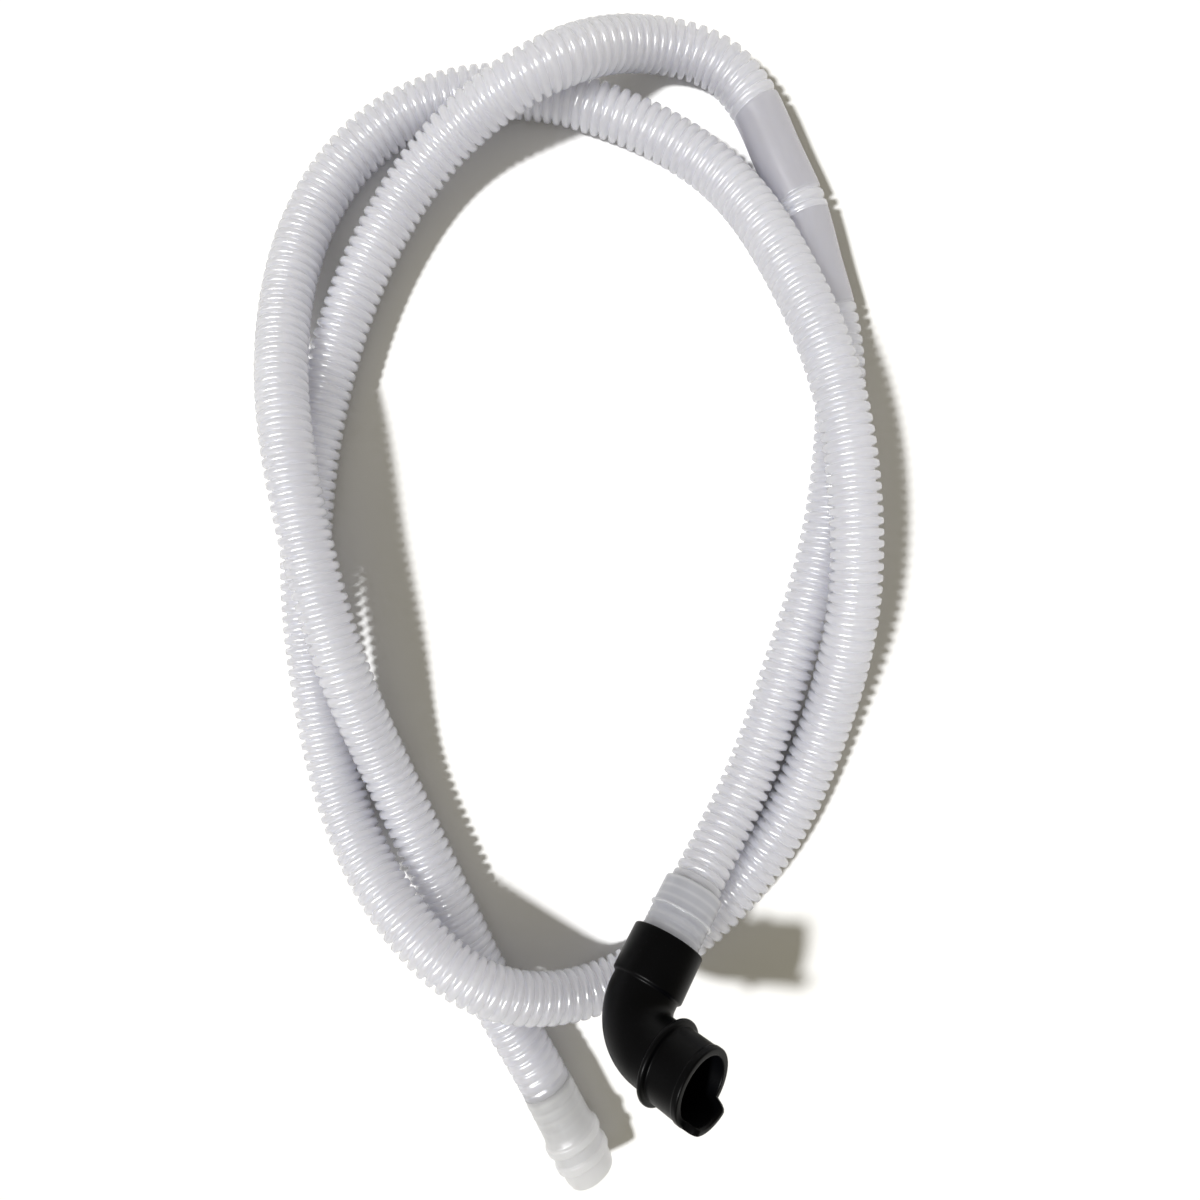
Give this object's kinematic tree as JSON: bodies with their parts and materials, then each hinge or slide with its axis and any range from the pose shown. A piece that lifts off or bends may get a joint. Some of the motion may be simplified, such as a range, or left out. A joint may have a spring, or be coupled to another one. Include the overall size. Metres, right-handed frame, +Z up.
{
  "type": "dishwasher drain hose",
  "caption": "Translucent white corrugated drain hose lying in loops, with a barbed moulded cuff at the free end and a black rubber elbow pushed onto the other cuff.",
  "frame": {"origin": "on the floor, under the middle of the box round the elbow and the end cuffs", "axes": "+Z up from the floor; +Y from the ends towards the far side of the loops; +X to the right seen from above"},
  "size_m": [0.2881, 0.5551, 0.1007],
  "materials": {
    "hose_plastic": "translucent, satin",
    "cuff_plastic": "translucent, satin",
    "elbow_rubber": "matt with a soft sheen"
  },
  "bodies": {
    "root": {"hose": "hose_plastic", "elbow_end_cuff": "cuff_plastic", "free_end_cuff": "cuff_plastic", "elbow": "elbow_rubber"}
  },
  "joints": []
}
